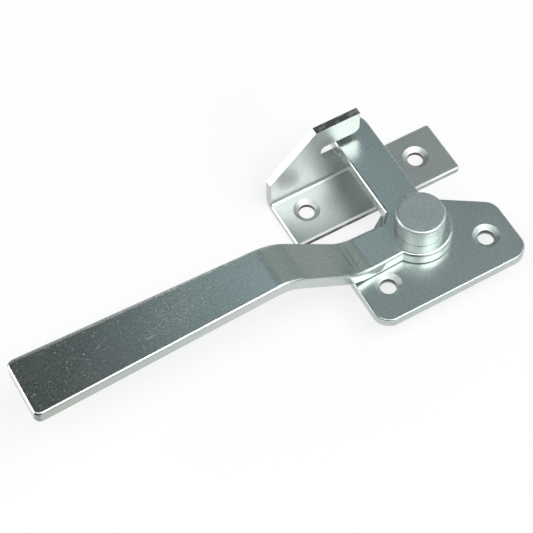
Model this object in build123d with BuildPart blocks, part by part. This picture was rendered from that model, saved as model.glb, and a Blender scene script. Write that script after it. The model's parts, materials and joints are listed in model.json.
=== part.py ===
from build123d import *
import os
from math import atan2, degrees

# Turn handle for a casement window, with its hook keeper. Millimetres.
# The origin is midway between the plate's two screw holes, on the sash face.
# +X runs along the screw row, +Y towards the keeper, +Z away from the window.
# The handle points along -X and the latch arm along +Y: this is the locked position.

# Mounting plate
plate_t = 3.0              # sheet thickness
plate_w = 48.4             # width along the screw row
plate_front = 10.4         # screw row to the straight front edge
plate_side = 5.7           # screw row to the centre of each rear side corner
plate_corner_r = 5.0       # the four side corners
plate_nose_r = 11.9        # rounded back, concentric with the rivet
plate_edge_r = 0.5         # top edge rounded by stamping

# Countersunk screw holes, alike in the plate and the keeper
screw_hole_d = 4.8
screw_head_d = 7.8
screw_head_angle = 115
plate_screw_spacing = 32.0

# Pivot rivet
pivot_y = 10.1             # screw row to the pivot axis
rivet_head_d = 14.0
rivet_head_h = 6.4
rivet_rim_r = 0.8          # rounded rim of the head
rivet_shoulder_d = 9.0     # the lever turns on this
rivet_spigot_d = 7.0       # goes through the plate
rivet_tail_d = 9.4         # clenched end, flush with the plate's back
rivet_tail_h = 1.2
rivet_seat_clearance = 0.02
pivot_clearance = 0.05     # radial, lever hole on the shoulder

# Lever
lever_t = 4.0              # flat bar thickness
lever_gap = 0.2            # plate to lever
head_gap = 0.1             # lever to rivet head
lever_edge_r = 0.8         # rounded upper edges of the bar
lever_edge_break = 0.3     # lower edges, broken by tumbling
hub_d = 19.7
hub_shift = 0.4            # hub's centre from the pivot axis, towards the handle
hub_corner_r = 0.5         # small radii where the hub meets the arm and the handle
arm_w = 12.0
arm_overhang = 6.4         # tip beyond the keeper's back face
handle_reach = 120.0       # pivot axis to the handle's end
handle_w_end = 18.1
handle_w_hub = 10.5        # width that the taper would have at the pivot axis
handle_corner_r = 2.0
crank_start = 22.8         # pivot axis to the lower bend, at mid-thickness
crank_run = 22.0           # lower bend to upper bend
crank_rise = 16.7          # lift of the handle above the hub
crank_bend_r = 13.0        # bend radius at mid-thickness

# Keeper
keeper_drop = 9.4          # its frame face lies this far below the sash face
keeper_t = 2.2             # sheet thickness
keeper_offset = 18.6       # pivot axis to the base's front edge
keeper_depth = 18.2        # front edge to the flange's back face
keeper_left = 27.9         # pivot axis to the left end
keeper_right = 27.0        # pivot axis to the right end
keeper_bend_r = 1.0        # inside radius of the fold
keeper_corner_r = 0.8      # corners of the base
keeper_edge_break = 0.4    # upper edge of the base, broken by tumbling
keeper_step = 0.4          # flat part's back edge, short of the flange's back face
relief_w = 1.2             # notch between the fold and the flat part
keeper_screw_spacing = 37.0
keeper_screw_shift = -1.0  # middle of the keeper's screws, from the pivot axis
keeper_screw_inset = 9.3   # base's front edge to the screw row
flange_end_h = 11.6        # flange height at the left end
ramp_run = 14.9            # left end to the top of the sloping edge
hook_right = 1.4           # pivot axis to the hook's open end
nose_h = 8.3               # strip of flange above the slot
hook_lead_r = 2.0          # rounded corners of the slot's mouth
slot_floor_room = 0.3      # latch arm to the slot's lower edge
slot_roof_room = 2.1       # latch arm to the slot's upper edge
slot_end_room = 5.2        # latch arm to the slot's closed end
slot_corner_r = 1.5

# Heights and places that follow from the sizes above
lever_z = plate_t + lever_gap
lever_mid = lever_z + lever_t / 2
lever_top = lever_z + lever_t
head_z = lever_top + head_gap
keeper_front = pivot_y + keeper_offset
keeper_back = keeper_front + keeper_depth
keeper_top = keeper_t - keeper_drop
arm_reach = keeper_offset + keeper_depth + arm_overhang
slot_floor = lever_z - slot_floor_room
slot_roof = lever_top + slot_roof_room
slot_end = -arm_w / 2 - slot_end_room
flange_top = slot_roof + nose_h

os.makedirs("parts", exist_ok=True)


def rim(bar, side):
    """Edges where a bar's upright walls meet the faces that look up (1) or down (-1)."""
    walls = bar.faces().filter_by(lambda face: abs(face.normal_at().Z) < 0.01)
    flats = bar.faces().filter_by(lambda face: side * face.normal_at().Z > 0.1)
    return walls.edges() & flats.edges()


# Mounting plate: five rounded corners wrapped in one outline. The screw holes are
# countersunk from the front, and the rivet's hole from the back.
corner_x = plate_w / 2 - plate_corner_r
corner_y = plate_corner_r - plate_front
tail_flare = (rivet_tail_d - rivet_spigot_d) / 2
with BuildPart() as mounting_plate:
    with BuildSketch():
        with Locations((0, pivot_y)):
            Circle(plate_nose_r)
        with Locations((-corner_x, corner_y), (corner_x, corner_y)):
            Circle(plate_corner_r)
        with Locations((-corner_x, plate_side), (corner_x, plate_side)):
            Circle(plate_corner_r)
        make_hull()
    extrude(amount=plate_t)
    fillet(mounting_plate.edges().group_by(Axis.Z)[-1], plate_edge_r)
    with Locations((0, 0, plate_t)):
        with GridLocations(plate_screw_spacing, 0, 2, 1):
            CounterSinkHole(
                screw_hole_d / 2, screw_head_d / 2, counter_sink_angle=screw_head_angle
            )
    with Locations(Location((0, pivot_y, 0), (180, 0, 0))):
        CounterSinkHole(
            rivet_spigot_d / 2 + rivet_seat_clearance,
            rivet_tail_d / 2 + rivet_seat_clearance,
            counter_sink_angle=2 * degrees(atan2(tail_flare, rivet_tail_h)),
        )
mounting_plate.part.label = "mounting_plate"
export_step(mounting_plate.part, "parts/mounting_plate.step")


# Pivot rivet: turned in one piece. The shoulder stands on the plate and leaves the
# lever free to turn under the head, and the clenched tail fills the plate's back.
with BuildPart() as pivot_rivet:
    with BuildSketch(Plane.XZ.offset(-pivot_y)):
        with BuildLine():
            Polyline(
                (0, 0),
                (rivet_tail_d / 2, 0),
                (rivet_spigot_d / 2, rivet_tail_h),
                (rivet_spigot_d / 2, plate_t),
                (rivet_shoulder_d / 2, plate_t),
                (rivet_shoulder_d / 2, head_z),
                (rivet_head_d / 2, head_z),
                (rivet_head_d / 2, head_z + rivet_head_h),
                (0, head_z + rivet_head_h),
                close=True,
            )
        make_face()
    revolve(axis=Axis((0, pivot_y, 0), (0, 0, 1)))
    fillet(pivot_rivet.edges().group_by(Axis.Z)[-1], rivet_rim_r)
pivot_rivet.part.label = "pivot_rivet"
export_step(pivot_rivet.part, "parts/pivot_rivet.step")


# Lever: one flat bar. Its side view, with the two bends of the crank, is trimmed to
# its plan: the tapered handle, the round hub and the latch arm with its round tip.
hub_centre = Vector(-hub_shift, 0)
with BuildPart() as lever:
    with BuildSketch(Plane.XZ.offset(-pivot_y)):
        with BuildLine():
            FilletPolyline(
                (hub_d, lever_mid),
                (-crank_start, lever_mid),
                (-crank_start - crank_run, lever_mid + crank_rise),
                (-handle_reach, lever_mid + crank_rise),
                radius=crank_bend_r,
            )
        trace(line_width=lever_t)
    extrude(amount=arm_reach + hub_d, both=True)
    with BuildSketch(Plane((0, pivot_y, 0))):
        with BuildLine():
            Polyline(
                (0, -handle_w_hub / 2),
                (0, handle_w_hub / 2),
                (-handle_reach, handle_w_end / 2),
                (-handle_reach, -handle_w_end / 2),
                close=True,
            )
        make_face()
        fillet(vertices().group_by(Axis.X)[0], handle_corner_r)
        with Locations((-hub_shift, 0)):
            Circle(hub_d / 2)
        Rectangle(arm_w, arm_reach - arm_w / 2, align=(Align.CENTER, Align.MIN))
        with Locations((0, arm_reach - arm_w / 2)):
            Circle(arm_w / 2)
        inner_corners = vertices().filter_by(
            lambda corner: abs((Vector(corner) - hub_centre).length - hub_d / 2) < 0.01
        )
        fillet(inner_corners, hub_corner_r)
    extrude(amount=lever_top + crank_rise, mode=Mode.INTERSECT)
    fillet(rim(lever, 1), lever_edge_r)
    chamfer(rim(lever, -1), lever_edge_break)
    with Locations((0, pivot_y, lever_top)):
        Hole(rivet_shoulder_d / 2 + pivot_clearance, depth=2 * lever_t)
lever.part.label = "lever"
export_step(lever.part, "parts/lever.step")


# Keeper: one folded sheet. The upright flange runs along the left half of the base
# and is cut to a hook: a slope up to the nose, and a slot open to the right.
fold_y = keeper_back - keeper_t - keeper_bend_r
with BuildPart() as keeper:
    with BuildSketch(Plane.YZ.offset(-keeper_left)):
        with BuildLine():
            FilletPolyline(
                (keeper_front, keeper_top - keeper_t / 2),
                (keeper_back - keeper_t / 2, keeper_top - keeper_t / 2),
                (keeper_back - keeper_t / 2, flange_top),
                radius=keeper_bend_r + keeper_t / 2,
            )
        trace(line_width=keeper_t)
    extrude(amount=keeper_left + hook_right)
    with BuildSketch(Plane.XZ.offset(-keeper_back)):
        with BuildLine():
            Polyline(
                (-keeper_left, -keeper_drop),
                (-keeper_left, flange_end_h - keeper_drop),
                (ramp_run - keeper_left, flange_top),
                (hook_right, flange_top),
                (hook_right, -keeper_drop),
                close=True,
            )
        make_face()
        with Locations((slot_end, slot_floor)):
            RectangleRounded(
                2 * (hook_right - slot_end),
                slot_roof - slot_floor,
                slot_corner_r,
                align=(Align.MIN, Align.MIN),
                mode=Mode.SUBTRACT,
            )
        mouth = [
            vertices().sort_by_distance((hook_right, height))[0]
            for height in (slot_floor, slot_roof)
        ]
        fillet(mouth, hook_lead_r)
    extrude(amount=keeper_depth, mode=Mode.INTERSECT)
    with BuildSketch(Plane.XY.offset(-keeper_drop)):
        with Locations((hook_right, keeper_front)):
            Rectangle(
                keeper_right - hook_right,
                keeper_depth - keeper_step,
                align=(Align.MIN, Align.MIN),
            )
        with Locations((hook_right, fold_y)):
            Rectangle(relief_w, keeper_depth, align=(Align.MIN, Align.MIN), mode=Mode.SUBTRACT)
    extrude(amount=keeper_t)
    base_ends = keeper.edges().filter_by(Axis.Z).filter_by(
        lambda edge: abs(edge.length - keeper_t) < 0.01
    )
    right_corners = base_ends.group_by(Axis.X)[-1]
    left_corner = base_ends.group_by(Axis.X)[0].sort_by(Axis.Y)[:1]
    fillet(right_corners + left_corner, keeper_corner_r)
    base_rim = keeper.edges().filter_by(
        lambda edge: abs(edge.center().Z - keeper_top) < 0.01 and edge.center().Y < fold_y - 0.01
    )
    chamfer(base_rim, keeper_edge_break)
    with Locations((keeper_screw_shift, keeper_front + keeper_screw_inset, keeper_top)):
        with GridLocations(keeper_screw_spacing, 0, 2, 1):
            CounterSinkHole(
                screw_hole_d / 2, screw_head_d / 2, counter_sink_angle=screw_head_angle
            )
keeper.part.label = "keeper"
export_step(keeper.part, "parts/keeper.step")
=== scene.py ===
# %% [markdown]
# # Locking window handle
# A cranked turn handle on a riveted plate, and the folded hook keeper that its latch arm swings into.
# All four pieces are stamped or turned steel with bright zinc plating. The CAD solids already have the
# right shapes, so this notebook gives them their finish, a studio and the photograph's camera.

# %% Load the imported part
import json
import math
import bpy
from mathutils import Matrix, Vector


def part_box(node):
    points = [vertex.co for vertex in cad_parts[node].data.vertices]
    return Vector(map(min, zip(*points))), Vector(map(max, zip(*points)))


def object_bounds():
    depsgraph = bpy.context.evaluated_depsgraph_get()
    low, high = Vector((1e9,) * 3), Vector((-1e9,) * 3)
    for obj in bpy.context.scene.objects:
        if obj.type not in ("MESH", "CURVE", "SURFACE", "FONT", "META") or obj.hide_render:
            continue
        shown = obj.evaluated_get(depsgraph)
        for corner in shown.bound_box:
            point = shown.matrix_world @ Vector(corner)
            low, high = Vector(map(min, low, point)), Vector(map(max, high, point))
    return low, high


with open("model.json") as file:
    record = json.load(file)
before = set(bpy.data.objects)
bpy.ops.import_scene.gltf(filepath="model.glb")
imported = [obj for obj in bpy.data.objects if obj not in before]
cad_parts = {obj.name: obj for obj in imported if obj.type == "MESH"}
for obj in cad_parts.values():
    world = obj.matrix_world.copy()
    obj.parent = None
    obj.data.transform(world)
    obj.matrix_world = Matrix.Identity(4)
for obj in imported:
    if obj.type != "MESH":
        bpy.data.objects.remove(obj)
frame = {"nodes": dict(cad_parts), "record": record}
cad_low, cad_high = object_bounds()
mm = 0.001
print("nodes", sorted(frame["nodes"]), "size in mm", [round(v / mm, 1) for v in cad_high - cad_low])

# %% [markdown]
# ## Helpers
# Colours are written as the sRGB hex values that a colour picker shows, and Blender's nodes expect
# linear light, so one function converts them. A second one adds a shader node with its settings and
# links in one call, which keeps each material readable from top to bottom.


# %% Colour and node helpers
def linear(hex_colour):
    """An sRGB hex colour as linear RGBA."""
    parts = [int(hex_colour[i:i + 2], 16) / 255 for i in (1, 3, 5)]
    return [c / 12.92 if c <= 0.04045 else ((c + 0.055) / 1.055) ** 2.4 for c in parts] + [1.0]


def add_node(tree, kind, settings=None, links=None):
    """Adds a node. A setting is a socket's value, by name or number, or else a property of the node.
    A link comes from a socket, or from a node's first output."""
    node = tree.nodes.new(kind)
    for key, value in (settings or {}).items():
        if isinstance(key, int) or key in node.inputs:
            node.inputs[key].default_value = value
        else:
            setattr(node, key, value)
    for key, source in (links or {}).items():
        socket = source.outputs[0] if isinstance(source, bpy.types.Node) else source
        tree.links.new(socket, node.inputs[key])
    return node


print("mid-grey in linear light", [round(c, 3) for c in linear("#808080")])

# %% [markdown]
# ## Light levels
# Each light's brightness is kept in one table, so the balance of the studio can be seen and changed in
# one place. A level of 1 is the brightness of white paper in the picture.

# %% Light levels
levels = {
    "paper": 0.75,
    "right_wall": 0.44,
    "back_wall": 0.30,
    "ceiling_panel": 2.15,
    "main_soft_box": 6.5,
    "upper_right_soft_box": 2.1,
    "upper_left_soft_box": 3.0,
    "front_soft_box": 2.2,
    "right_soft_box": 1.2,
    "left_soft_box": 3.8,
}
print("brightest light", max(levels, key=levels.get))

# %% [markdown]
# ## White sweep
# The set lies on white paper. Stronger lamps could make the paper white, but they would burn out the metal.
# The paper glows by itself instead, for the rays that the camera sees and the metal mirrors, and a matt
# part under the glow still takes the soft shadow. In the mirrored view the glow fades out round the set,
# as lamplight does.

# %% Floor
floor_radius = 2.0
middle = (cad_low + cad_high) / 2
bpy.ops.mesh.primitive_circle_add(vertices=96, radius=floor_radius, fill_type="NGON",
                                  location=(middle.x, middle.y, cad_low.z))
floor = bpy.context.object
floor.name = "floor"
print("floor at", round(cad_low.z / mm, 1), "mm")

# %% White paper
# In metres from the middle of the set
fade_start, fade_end = 0.14, 0.40
far_glow = 0.1
# Settings that many Math nodes share
times = {"operation": "MULTIPLY"}
largest = {"operation": "MAXIMUM"}
# Matt paper gives an even white ground with a soft shadow
paper = bpy.data.materials.new("white_paper")
paper.use_nodes = True
tree = paper.node_tree
tree.nodes.clear()
rays = add_node(tree, "ShaderNodeLightPath")
place = add_node(tree, "ShaderNodeTexCoord")
away = add_node(tree, "ShaderNodeVectorMath", {"operation": "LENGTH"}, {0: place.outputs["Object"]})
fade = add_node(tree, "ShaderNodeMapRange",
                {"From Min": fade_start, "From Max": fade_end, "To Min": 1.0, "To Max": far_glow},
                {"Value": away.outputs["Value"]})
mirrored = add_node(tree, "ShaderNodeMath", times, {0: rays.outputs["Is Glossy Ray"], 1: fade})
straight = add_node(tree, "ShaderNodeMath", largest,
                    {0: rays.outputs["Is Camera Ray"], 1: rays.outputs["Is Transmission Ray"]})
seen = add_node(tree, "ShaderNodeMath", largest, {0: straight, 1: mirrored})
glow_level = add_node(tree, "ShaderNodeMath", {**times, 1: levels["paper"]}, {0: seen})
glow = add_node(tree, "ShaderNodeEmission", {"Color": linear("#ffffff")}, {"Strength": glow_level})
matt = add_node(tree, "ShaderNodeBsdfDiffuse", {"Color": linear("#7d7d7d")})
both = add_node(tree, "ShaderNodeAddShader", None, {0: glow, 1: matt})
add_node(tree, "ShaderNodeOutputMaterial", None, {"Surface": both})
floor.data.materials.append(paper)
print("paper's glow fades in reflections from", fade_start, "to", fade_end, "m")

# %% [markdown]
# ## Room
# Flat metal shows what it mirrors, so the room matters as much as the lamps. A photographed studio could
# surround the set, but a few smooth ramps over the direction need no image. Seen from the camera, the flat
# tops mirror the ceiling behind the set. It is dark, with one soft panel of cool light, and that is why the
# handle fades from grey-blue at its bend to nearly black at its end. The bends of the bar show the right
# wall, a grey that is a little darker at its foot, and the rounded back edges the back wall.

# %% Walls
# A direction is a unit vector, and these are parts of it: along X, along Y, and upwards
right_wall_start, right_wall_full = 0.33, 0.46
back_wall_start, back_wall_full = 0.62, 0.85
foot_end = 0.6
# How bright the wall is at its foot
foot_shade = 0.92
soft_ramp = {"interpolation_type": "SMOOTHSTEP"}
world = bpy.data.worlds.new("studio_room")
bpy.context.scene.world = world
world.use_nodes = True
tree = world.node_tree
tree.nodes.clear()
direction = add_node(tree, "ShaderNodeTexCoord").outputs["Generated"]
axes = add_node(tree, "ShaderNodeSeparateXYZ", None, {0: direction})
right_wall = add_node(tree, "ShaderNodeMapRange",
                      {**soft_ramp, "From Min": right_wall_start, "From Max": right_wall_full,
                       "To Min": 0.0, "To Max": levels["right_wall"]},
                      {"Value": axes.outputs["X"]})
foot = add_node(tree, "ShaderNodeMapRange",
                {**soft_ramp, "From Min": 0.0, "From Max": foot_end, "To Min": foot_shade, "To Max": 1.0},
                {"Value": axes.outputs["Z"]})
lit_wall = add_node(tree, "ShaderNodeMath", times, {0: right_wall, 1: foot})
back_wall = add_node(tree, "ShaderNodeMapRange",
                     {**soft_ramp, "From Min": back_wall_start, "From Max": back_wall_full,
                      "To Min": 0.0, "To Max": levels["back_wall"]},
                     {"Value": axes.outputs["Y"]})
wall_level = add_node(tree, "ShaderNodeMath", {"operation": "ADD"}, {0: lit_wall, 1: back_wall})
walls = add_node(tree, "ShaderNodeBackground", {"Color": linear("#e6f5f2")}, {"Strength": wall_level})
print("right wall level", levels["right_wall"], "back wall level", levels["back_wall"])

# %% Ceiling panel
panel_towards = Vector((0.262, 0.447, 0.855)).normalized()
panel_core, panel_edge = math.radians(2), math.radians(5)
facing = add_node(tree, "ShaderNodeVectorMath", {"operation": "DOT_PRODUCT", 1: panel_towards},
                  {0: direction})
panel_level = add_node(tree, "ShaderNodeMapRange",
                       {**soft_ramp, "From Min": math.cos(panel_edge), "From Max": math.cos(panel_core),
                        "To Min": 0.0, "To Max": levels["ceiling_panel"]},
                       {"Value": facing.outputs["Value"]})
panel = add_node(tree, "ShaderNodeBackground", {"Color": linear("#dcf3fd")}, {"Strength": panel_level})
room = add_node(tree, "ShaderNodeAddShader", None, {0: walls, 1: panel})
add_node(tree, "ShaderNodeOutputWorld", None, {"Surface": room})
print("ceiling panel towards", [round(v, 2) for v in panel_towards])

# %% [markdown]
# ## Soft boxes
# Three soft boxes hang above the front of the set. They put the thin white line along the rounded front
# edges, and light the corners where two faces mirror each other, such as the inside of the keeper. One
# stands in front and one at the right for the countersinks, and a tall one at the left lights the handle's
# end and the arm's left edge. Together they light white paper to about white, which is a plain level.


# %% Lamps
def soft_box(name, towards, distance, width, height):
    """A soft box that stands in the given direction from the set and faces it, in metres."""
    lamp = bpy.data.lights.new(name, "AREA")
    lamp.shape = "RECTANGLE"
    lamp.size = width
    lamp.size_y = height
    lamp.energy = levels[name] * math.pi * width * height
    box = bpy.data.objects.new(name, lamp)
    bpy.context.scene.collection.objects.link(box)
    outwards = Vector(towards).normalized()
    box.location = middle + outwards * distance
    box.rotation_euler = (-outwards).to_track_quat("-Z", "Y").to_euler()


soft_box("main_soft_box", (0.20, -0.45, 0.87), 1.1, 0.60, 0.50)
soft_box("upper_right_soft_box", (0.50, -0.10, 0.86), 1.1, 0.45, 0.50)
soft_box("upper_left_soft_box", (-0.38, -0.22, 0.90), 1.1, 0.60, 0.70)
soft_box("front_soft_box", (0.25, -0.88, 0.40), 1.1, 0.90, 0.50)
soft_box("right_soft_box", (0.80, -0.35, 0.48), 1.1, 0.60, 0.60)
soft_box("left_soft_box", (-0.80, 0.45, 0.40), 0.9, 0.45, 0.80)

# %% [markdown]
# ## Specks in the plating
# Handling leaves small pale specks on zinc. They could be painted on an image, but a Voronoi texture
# scatters them without one. Each cell has a random colour, and its red decides whether the cell gets a
# speck and its green how pale that is. The cells fill space, so a speck shows only where the middle of a
# chosen cell lies close to the surface.

# %% Specks
speck_mm = 0.7
speck_core, speck_edge = 0.08, 0.36


def pale_specks(tree, spot, share):
    """Specks in a share of the cells: up to 1 in the middle of a speck, and 0 between them."""
    cells = add_node(tree, "ShaderNodeTexVoronoi", {"Scale": 1 / (speck_mm * mm)}, spot)
    lot = add_node(tree, "ShaderNodeSeparateColor", None, {0: cells.outputs["Color"]})
    chosen = add_node(tree, "ShaderNodeMath", {"name": "speck_share", "operation": "LESS_THAN", 1: share},
                      {0: lot.outputs["Red"]})
    dot = add_node(tree, "ShaderNodeMapRange",
                   {"From Min": speck_core, "From Max": speck_edge, "To Min": 1.0, "To Max": 0.0},
                   {"Value": cells.outputs["Distance"]})
    pale_dot = add_node(tree, "ShaderNodeMath", times, {0: dot, 1: lot.outputs["Green"]})
    return add_node(tree, "ShaderNodeMath", times, {0: pale_dot, 1: chosen})


print("specks up to", round(2 * speck_edge * speck_mm, 2), "mm across")

# %% [markdown]
# ## Zinc plating
# Bright zinc over stamped steel is a slightly blue-green metal with a satin gloss. It could be one plain
# shader, but real plating is never even: fine crystals give it a grain, and the bath leaves soft clouds of
# a centimetre or so. Both vary the tint and the roughness here. The grain and the specks are also a little
# chalky, so they look pale where the flat mirrors something dark, and hardly show elsewhere.

# %% Zinc plating
# Real crystals are too fine to show, so the grain is drawn far coarser, at a size that shows
grain_mm = 0.6
grain_in_tint = 0.6
grain_in_gloss = 0.3
crystal_mm = 0.01
crystal_strength = 0.04
chalk_gloss = 0.65
speck_chalk = 0.13


def zinc_plating(name, tints, gloss, cloud_mm, speck_share, dustiness):
    """Zinc plating. It takes two tints, the lowest and highest roughness, the size of the clouds, the
    share of specks and the chalk of the grain."""
    material = bpy.data.materials.new(name)
    material.use_nodes = True
    tree = material.node_tree
    tree.nodes.clear()
    place = add_node(tree, "ShaderNodeTexCoord", {"name": "place"})
    spot = {"Vector": place.outputs["Object"]}
    grain = add_node(tree, "ShaderNodeTexNoise",
                     {"name": "grain", "Scale": 1 / (grain_mm * mm), "Detail": 2.0}, spot)
    clouds = add_node(tree, "ShaderNodeTexNoise",
                      {"Scale": 1 / (cloud_mm * mm), "Detail": 3.0, "Roughness": 0.6}, spot)
    crystal = add_node(tree, "ShaderNodeMapRange",
                       {"From Min": 0.35, "From Max": 0.65, "To Min": 0.0, "To Max": 1.0}, {"Value": grain})
    shade = add_node(tree, "ShaderNodeMix", {"data_type": "FLOAT", 0: grain_in_tint}, {2: clouds, 3: crystal})
    tint = add_node(tree, "ShaderNodeMix",
                    {"data_type": "RGBA", 6: linear(tints[0]), 7: linear(tints[1])}, {0: shade})
    mottle = add_node(tree, "ShaderNodeMix", {"data_type": "FLOAT", 0: grain_in_gloss}, {2: clouds, 3: grain})
    even = add_node(tree, "ShaderNodeMapRange",
                    {"From Min": 0.25, "From Max": 0.75, "To Min": gloss[0], "To Max": gloss[1]},
                    {"Value": mottle})
    speck = pale_specks(tree, spot, speck_share)
    roughness = add_node(tree, "ShaderNodeMix", {"data_type": "FLOAT", 3: chalk_gloss}, {0: speck, 2: even})
    dust = add_node(tree, "ShaderNodeMapRange",
                    {"From Min": 0.45, "From Max": 0.75, "To Min": 1.0, "To Max": 1.0 - dustiness},
                    {"Value": grain})
    chalky = add_node(tree, "ShaderNodeMath", {"operation": "MULTIPLY_ADD", 1: -speck_chalk},
                      {0: speck, 2: dust})
    crystals = add_node(tree, "ShaderNodeBump",
                        {"name": "crystals", "Strength": crystal_strength, "Distance": crystal_mm * mm},
                        {"Height": grain})
    plating = add_node(tree, "ShaderNodeBsdfPrincipled", {"name": "plating"},
                       {"Metallic": chalky, "Base Color": tint.outputs[2], "Roughness": roughness,
                        "Normal": crystals})
    add_node(tree, "ShaderNodeOutputMaterial", None, {"Surface": plating})
    return material


print("grain of", grain_mm, "mm")

# %% Four finishes
# Rolled bar keeps the brightest plating, which mirrors the room in a soft blur
lever_zinc = zinc_plating("zinc_plated_lever_bar", ("#bac5c3", "#c8cec9"), (0.25, 0.29), 12, 0.05, 0.07)
# The stamped plate is a little duller and more clouded
plate_zinc = zinc_plating("zinc_plated_base_plate", ("#a9b4b2", "#c8cfcc"), (0.28, 0.33), 12, 0.08, 0.10)
# Thin folded sheet has a paler satin coat that only hints at what it mirrors
sheet_zinc = zinc_plating("zinc_plated_folded_sheet", ("#b8bfbc", "#d0d3d1"), (0.36, 0.42), 10, 0.05, 0.08)
# Turning leaves the rivet the dullest of the four, with small clouds and the chalkiest grain
rivet_zinc = zinc_plating("zinc_plated_turned_rivet", ("#b0bbbb", "#cdd4d2"), (0.38, 0.44), 6, 0.05, 0.12)
finishes = {
    "mounting_plate": plate_zinc,
    "lever": lever_zinc,
    "pivot_rivet": rivet_zinc,
    "keeper": sheet_zinc,
}
for node, material in finishes.items():
    frame["nodes"][node].data.materials.clear()
    frame["nodes"][node].data.materials.append(material)
print("finishes", {node: material.name for node, material in finishes.items()})

# %% [markdown]
# ## Marks in a finish
# Scratches, rubbed patches and cut edges change the plating only in places. A painted image could hold such
# marks, but a soft oval round a point, worked out from Object coordinates, needs no image and stays sharp
# at any size. One helper makes the oval, and another shifts the plating's colour, roughness or metallic.


# %% Mark helpers
def oval_mark(tree, centre_mm, turn_deg, size_mm, soft=0.8):
    """An oval, turned about the upright axis, that fades out over the soft share of its radius."""
    local = add_node(tree, "ShaderNodeMapping",
                     {"vector_type": "TEXTURE", "Location": Vector(centre_mm) * mm,
                      "Rotation": (0.0, 0.0, math.radians(turn_deg)), "Scale": Vector(size_mm) * mm / 2},
                     {"Vector": tree.nodes["place"].outputs["Object"]})
    reach = add_node(tree, "ShaderNodeVectorMath", {"operation": "LENGTH"}, {0: local})
    return add_node(tree, "ShaderNodeMapRange",
                    {**soft_ramp, "From Min": 1.0 - soft, "From Max": 1.0, "To Min": 1.0, "To Max": 0.0},
                    {"Value": reach.outputs["Value"]})


def shift_finish(tree, socket, share, value):
    """Shifts what a socket of the plating gets towards a value, by a share from 0 to 1."""
    target = tree.nodes["plating"].inputs[socket]
    before = target.links[0].from_socket
    if socket == "Base Color":
        mix = add_node(tree, "ShaderNodeMix", {"data_type": "RGBA", 7: linear(value)}, {0: share, 6: before})
        tree.links.new(mix.outputs[2], target)
    else:
        mix = add_node(tree, "ShaderNodeMix", {"data_type": "FLOAT", 3: value}, {0: share, 2: before})
        tree.links.new(mix.outputs[0], target)


plating = lever_zinc.node_tree.nodes["plating"]
print("sockets of the plating with a link", [socket.name for socket in plating.inputs if socket.links])

# %% [markdown]
# ## Wear on the handle
# The handle is the part that hands and tools meet. Its flat top has a few scratches and rubbed patches, and
# its back edge is pale along its whole length. Scratches could be cut into the mesh, but they are too
# shallow to change its outline. A mark only makes the coat dull and chalky, and the grain breaks it up.

# %% Scratches and rubbed patches
rubbed_metal = 0.55
handle_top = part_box("lever")[1].z
top_mm = handle_top / mm
# Centre, turn in degrees, length, width and depth in mm, and strength
rubbed = [
    ((-84.1, 7.0, top_mm), -3, (6.0, 0.7, 3.0), 0.7),
    ((-103.2, 10.7, top_mm), -38, (11.0, 0.4, 3.0), 0.25),
    ((-96.0, 12.0, top_mm), 24, (9.0, 0.35, 3.0), 0.2),
    ((-53.9, 14.2, top_mm), 4, (10.0, 2.0, 3.0), 0.12),
    ((-60.1, 5.4, top_mm), -8, (3.5, 0.9, 3.0), 0.4),
    ((-117.5, 6.9, top_mm), 0, (1.4, 1.2, 3.0), 0.4),
    ((-84.0, 17.7, top_mm), -1.8, (170.0, 2.4, 6.0), 1.0),
]
tree = lever_zinc.node_tree
grain = tree.nodes["grain"]
marks = []
for centre, turn, size, strength in rubbed:
    oval = oval_mark(tree, centre, turn, size)
    marks.append(add_node(tree, "ShaderNodeMath", {**times, 1: strength}, {0: oval}))
wear = marks[0]
for mark in marks[1:]:
    wear = add_node(tree, "ShaderNodeMath", largest, {0: wear, 1: mark})
broken = add_node(tree, "ShaderNodeMapRange",
                  {"From Min": 0.3, "From Max": 0.65, "To Min": 0.2, "To Max": 1.0}, {"Value": grain})
patchy = add_node(tree, "ShaderNodeMath", times, {0: wear, 1: broken})
shift_finish(tree, "Roughness", patchy, chalk_gloss)
shift_finish(tree, "Metallic", patchy, rubbed_metal)
print("rubbed marks", len(marks), "on the flat at", round(top_mm, 2), "mm")

# %% [markdown]
# ## Frost and specks on the handle
# At the handle's middle a cloud of pale crystals shows, with many specks. Towards the outer end there are
# more specks again, and the plating is greyer. Vertex colours could paint such slow changes, but they need
# a fine mesh, so each is a ramp along X or one wide oval.

# %% Cloud of frost
frost_chalk = 0.12
cloud = oval_mark(tree, (-75.0, 11.0, top_mm), 20, (30.0, 17.0, 3.0))
peaks = add_node(tree, "ShaderNodeMapRange",
                 {"From Min": 0.48, "From Max": 0.66, "To Min": 0.0, "To Max": frost_chalk}, {"Value": grain})
frost = add_node(tree, "ShaderNodeMath", times, {0: cloud, 1: peaks})
metallic = tree.nodes["plating"].inputs["Metallic"]
frosted = add_node(tree, "ShaderNodeMath", {"operation": "SUBTRACT"},
                   {0: metallic.links[0].from_socket, 1: frost})
tree.links.new(frosted.outputs[0], metallic)
print("frost lowers Metallic by up to", frost_chalk)

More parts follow.
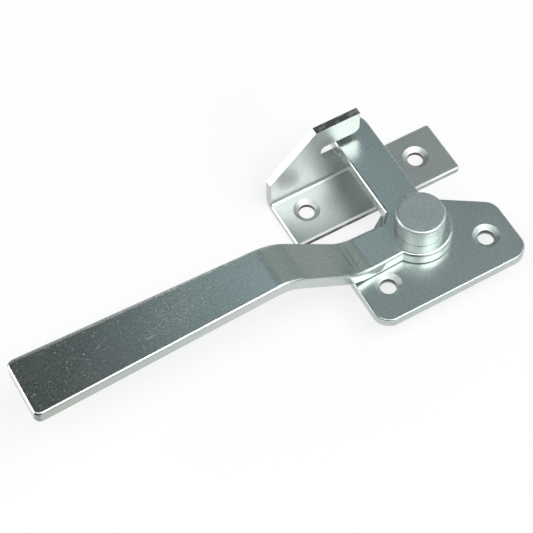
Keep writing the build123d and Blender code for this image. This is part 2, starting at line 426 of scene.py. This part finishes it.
# %% Specks and grey towards the end
specks_start_mm, specks_full_mm = -45, -100
few_specks, many_specks = 0.05, 0.30
cloud_specks = 0.5
grey_start_mm, grey_full_mm = -50, -115
most_grey = 0.38
spot = add_node(tree, "ShaderNodeSeparateXYZ", None, {0: tree.nodes["place"].outputs["Object"]})
share = add_node(tree, "ShaderNodeMapRange",
                 {"From Min": specks_start_mm * mm, "From Max": specks_full_mm * mm,
                  "To Min": few_specks, "To Max": many_specks},
                 {"Value": spot.outputs["X"]})
gathered = add_node(tree, "ShaderNodeMath", {"operation": "MULTIPLY_ADD", 1: cloud_specks},
                    {0: cloud, 2: share})
tree.links.new(gathered.outputs[0], tree.nodes["speck_share"].inputs[1])
greyer_towards_end = add_node(tree, "ShaderNodeMapRange",
                   {"From Min": grey_start_mm * mm, "From Max": grey_full_mm * mm,
                    "To Min": 0.0, "To Max": most_grey},
                   {"Value": spot.outputs["X"]})
# The base colour turns greyer and darker towards the outer end
shift_finish(tree, "Base Color", greyer_towards_end, "#86887a")
print("share of specks from", few_specks, "to", many_specks, "along the handle")

# %% [markdown]
# ## Press lines at the lower bend
# The tool that bent the bar left two thin lines across it. They are about a tenth of a millimetre deep,
# too shallow to model, so a bump and a darker tint draw them, with the same oval mark made long and thin.

# %% Press lines
line_depth_mm = 0.1
line_strength = 0.6
line_darkness = 0.6
press_lines = add_node(tree, "ShaderNodeMath", largest,
                       {0: oval_mark(tree, (-23.7, 10.2, 8.5), 91, (12.0, 0.6, 14.0)),
                        1: oval_mark(tree, (-22.0, 10.2, 8.5), 88, (10.0, 0.5, 14.0))})
pressed = add_node(tree, "ShaderNodeBump",
                   {"invert": True, "Strength": line_strength, "Distance": line_depth_mm * mm},
                   {"Height": press_lines, "Normal": tree.nodes["crystals"]})
tree.links.new(pressed.outputs[0], tree.nodes["plating"].inputs["Normal"])
line_share = add_node(tree, "ShaderNodeMath", {**times, 1: line_darkness}, {0: press_lines})
shift_finish(tree, "Base Color", line_share, "#6f7673")
print("press lines", line_depth_mm, "mm deep")

# %% [markdown]
# ## End of the handle
# The bar was cut to length with a shear, which leaves the upper part of the cut face smooth. The end shows a
# broad white band above a grey one, and the white band is a painted highlight: a pale, less metallic colour
# along the upper part of the end face. A second material there would end at a hard line, so the mark uses a
# face's height, with a short blur, and its direction, which comes from the Normal of Texture Coordinate.

# %% Grey cut end
# The hub, the arm and the lower bend lie below this height, and stay as they are
handle_from_mm = 15.0
# A face's normal has less than this along X where it looks out of the end
leans_out = -0.3
side = add_node(tree, "ShaderNodeSeparateXYZ", None, {0: tree.nodes["place"].outputs["Normal"]})
outwards = add_node(tree, "ShaderNodeMath", {"operation": "LESS_THAN", 1: leans_out}, {0: side.outputs["X"]})
raised = add_node(tree, "ShaderNodeMath", {"operation": "GREATER_THAN", 1: handle_from_mm * mm},
                  {0: spot.outputs["Z"]})
cut_end = add_node(tree, "ShaderNodeMath", times, {0: outwards, 1: raised})
shift_finish(tree, "Base Color", cut_end, "#8b908d")
print("grey end above", handle_from_mm, "mm")

# %% Painted highlight band
painted_highlight_white = "#f4f6f5"
painted_highlight_metal = 0.2
band_mm = 2.4
band_blur_mm = 0.4
leans_aside = 0.3
band_foot = handle_top - band_mm * mm
square_on = add_node(tree, "ShaderNodeMath", {"operation": "COMPARE", 1: 0.0, 2: leans_aside},
                     {0: side.outputs["Y"]})
end_highlight_height = add_node(tree, "ShaderNodeMapRange",
                       {"From Min": band_foot - band_blur_mm * mm / 2,
                        "From Max": band_foot + band_blur_mm * mm / 2, "To Min": 0.0, "To Max": 1.0},
                       {"Value": spot.outputs["Z"]})
between_corners = add_node(tree, "ShaderNodeMath", times, {0: cut_end, 1: square_on})
painted_end_highlight = add_node(tree, "ShaderNodeMath", times, {0: between_corners, 1: end_highlight_height})
# Painted highlight: the upper band of the end face turns pale and less metallic
shift_finish(tree, "Metallic", painted_end_highlight, painted_highlight_metal)
shift_finish(tree, "Base Color", painted_end_highlight, painted_highlight_white)
print("white band from", round(band_foot / mm, 2), "mm up")

# %% [markdown]
# ## Countersinks
# The screw holes were countersunk with a cutter, and its chatter leaves the cone duller than the rolled
# sheet round it. A dull cone gathers light from a wide part of the room, so it shows as a pale ring. The
# cones could take a material of their own, but then their faces would have to be picked out. The same oval
# mark, made a sharp disc at each hole, does it by place, and the record's mounts give the places. Inside
# each hole the upright wall gets a dark colour, which is painted shade for the hole's shadowed inside.

# %% Countersinks
# A little wider than the cones, with a sharp rim
cone_mm = (8.0, 8.0, 6.0)
cone_rim = 0.02
cone_gloss = 0.45
upright_lean = 0.2
sheet_mm = 2.2
keeper_low, keeper_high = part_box("keeper")
plate_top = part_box("mounting_plate")[1].z
mounts = {mount["name"]: mount for mount in frame["record"]["mounts"]}
countersunk = {
    "plate_screws": (plate_zinc, plate_top / mm),
    "keeper_screws": (sheet_zinc, keeper_low.z / mm + sheet_mm),
}
for name, (material, face_mm) in countersunk.items():
    tree = material.node_tree
    x_mm, y_mm = (v / mm for v in mounts[name]["pos_m"][:2])
    half_mm = mounts[name]["dims"]["spacing_x_mm"] / 2
    left = (x_mm - half_mm, y_mm, face_mm)
    right = (x_mm + half_mm, y_mm, face_mm)
    cones = add_node(tree, "ShaderNodeMath", largest,
                     {0: oval_mark(tree, left, 0, cone_mm, cone_rim),
                      1: oval_mark(tree, right, 0, cone_mm, cone_rim)})
    shift_finish(tree, "Roughness", cones, cone_gloss)
    side = add_node(tree, "ShaderNodeSeparateXYZ", None, {0: tree.nodes["place"].outputs["Normal"]})
    upright = add_node(tree, "ShaderNodeMath", {"operation": "COMPARE", 1: 0.0, 2: upright_lean},
                       {0: side.outputs["Z"]})
    painted_hole_shade = add_node(tree, "ShaderNodeMath", times, {0: upright, 1: cones})
    # Painted shade: the upright wall inside each hole gets a dark colour
    shift_finish(tree, "Base Color", painted_hole_shade, "#5a5e5c")
    print(name, "at", [[round(v, 2) for v in centre] for centre in (left, right)], "mm")

# %% [markdown]
# ## Sheared edges of the keeper
# The keeper is cut from sheet with a press. A sheared edge is smooth only where the punch entered, and
# below that the steel tore, which leaves a dull dark strip that the plating barely brightens. It shows
# on top of the hook's nose and along the lower part of the base's front edge. The tear could be modelled,
# but at this size only its colour and gloss show, so a face's direction and place keep it to the cut faces.

# %% Where the steel tore
# A face's normal has more than this along the way that the face looks
faces_share = 0.8
nose_depth_mm = 0.6
strip_mm = 1.5
strip_blur_mm = 0.2
fade_right_mm, fade_left_mm = 2, -6
right_share = 0.35
tree = sheet_zinc.node_tree
place = tree.nodes["place"]
spot = add_node(tree, "ShaderNodeSeparateXYZ", None, {0: place.outputs["Object"]})
side = add_node(tree, "ShaderNodeSeparateXYZ", None, {0: place.outputs["Normal"]})
faces_up = add_node(tree, "ShaderNodeMath", {"operation": "GREATER_THAN", 1: faces_share},
                    {0: side.outputs["Z"]})
nose_from = keeper_high.z - nose_depth_mm * mm
on_nose = add_node(tree, "ShaderNodeMath", {"operation": "GREATER_THAN", 1: nose_from},
                   {0: spot.outputs["Z"]})
nose_top = add_node(tree, "ShaderNodeMath", times, {0: faces_up, 1: on_nose})
faces_front = add_node(tree, "ShaderNodeMath", {"operation": "LESS_THAN", 1: -faces_share},
                       {0: side.outputs["Y"]})
strip_top = keeper_low.z + strip_mm * mm
lower_part = add_node(tree, "ShaderNodeMapRange",
                      {"From Min": strip_top + strip_blur_mm * mm / 2,
                       "From Max": strip_top - strip_blur_mm * mm / 2, "To Min": 0.0, "To Max": 1.0},
                      {"Value": spot.outputs["Z"]})
to_left = add_node(tree, "ShaderNodeMapRange",
                   {"From Min": fade_right_mm * mm, "From Max": fade_left_mm * mm,
                    "To Min": right_share, "To Max": 1.0},
                   {"Value": spot.outputs["X"]})
torn_strip = add_node(tree, "ShaderNodeMath", times, {0: lower_part, 1: to_left})
front_edge = add_node(tree, "ShaderNodeMath", times, {0: faces_front, 1: torn_strip})
torn = add_node(tree, "ShaderNodeMath", largest, {0: nose_top, 1: front_edge})
print("torn strip up to", round(strip_top / mm, 2), "mm, nose from", round(nose_from / mm, 2), "mm")

# %% Dull torn steel
torn_gloss = 0.6
fleck_mm = 2.5
fleck_cover = 0.55
flecks = add_node(tree, "ShaderNodeTexNoise", {"Scale": 1 / (fleck_mm * mm), "Detail": 3.0},
                  {"Vector": place.outputs["Object"]})
bare = add_node(tree, "ShaderNodeMapRange",
                {"From Min": 0.50, "From Max": 0.68, "To Min": 1.0, "To Max": fleck_cover}, {"Value": flecks})
torn_patchy = add_node(tree, "ShaderNodeMath", times, {0: torn, 1: bare})
shift_finish(tree, "Base Color", torn_patchy, "#5c605d")
shift_finish(tree, "Roughness", torn_patchy, torn_gloss)
print("flecks of", fleck_mm, "mm on the torn steel")

# %% [markdown]
# ## Painted highlight on the keeper's front edge
# Above the torn strip the rounded edge gets a painted highlight, in the same pale and less metallic colour as
# the handle's end. The mark keeps to faces that look forwards and lie right at the base's front, and it
# fades to the right as the torn strip does.

# %% Painted highlight on the front edge
edge_depth_mm = 0.6
leans_forwards = -0.5
edge_back = keeper_low.y + edge_depth_mm * mm
at_front = add_node(tree, "ShaderNodeMath", {"operation": "LESS_THAN", 1: edge_back}, {0: spot.outputs["Y"]})
forwards = add_node(tree, "ShaderNodeMath", {"operation": "LESS_THAN", 1: leans_forwards},
                    {0: side.outputs["Y"]})
front_faces = add_node(tree, "ShaderNodeMath", times, {0: at_front, 1: forwards})
above = add_node(tree, "ShaderNodeMath", {"operation": "SUBTRACT", 0: 1.0}, {1: lower_part})
edge_highlight_area = add_node(tree, "ShaderNodeMath", times, {0: front_faces, 1: above})
painted_edge_highlight = add_node(tree, "ShaderNodeMath", times, {0: edge_highlight_area, 1: to_left})
# Painted highlight: the front edge above the torn strip turns pale and less metallic
shift_finish(tree, "Metallic", painted_edge_highlight, painted_highlight_metal)
shift_finish(tree, "Base Color", painted_edge_highlight, painted_highlight_white)
print("frosty edge up to y", round(edge_back / mm, 2), "mm")

# %% [markdown]
# ## Camera
# The photograph was taken from the front left and well above. Its direction, distance and focal length
# come from fitting the part's own edges to the picture, so they are plain numbers here.

# %% Camera
image_px = 533
focal_px = 1727.2
azimuth, elevation, roll = (math.radians(v) for v in (-29.232, 58.707, -0.536))
distance = 480.0 * mm
target = Vector((-41.24, 23.33, 0.0)) * mm
lens = bpy.data.cameras.new("photo_camera")
lens.sensor_width = 36.0
lens.lens = lens.sensor_width * focal_px / image_px
lens.clip_start = 0.01
lens.clip_end = 20.0
camera = bpy.data.objects.new("photo_camera", lens)
bpy.context.scene.collection.objects.link(camera)
level_back = Vector((math.sin(azimuth), -math.cos(azimuth), 0.0)) * math.cos(elevation)
back = level_back + Vector((0.0, 0.0, math.sin(elevation)))
aim = (-back).to_track_quat("-Z", "Y").to_matrix().to_4x4()
camera.matrix_world = Matrix.Translation(target + back * distance) @ aim @ Matrix.Rotation(roll, 4, "Z")
bpy.context.scene.camera = camera
bpy.context.scene.view_settings.view_transform = "Standard"
print("lens in mm", round(lens.lens, 1))
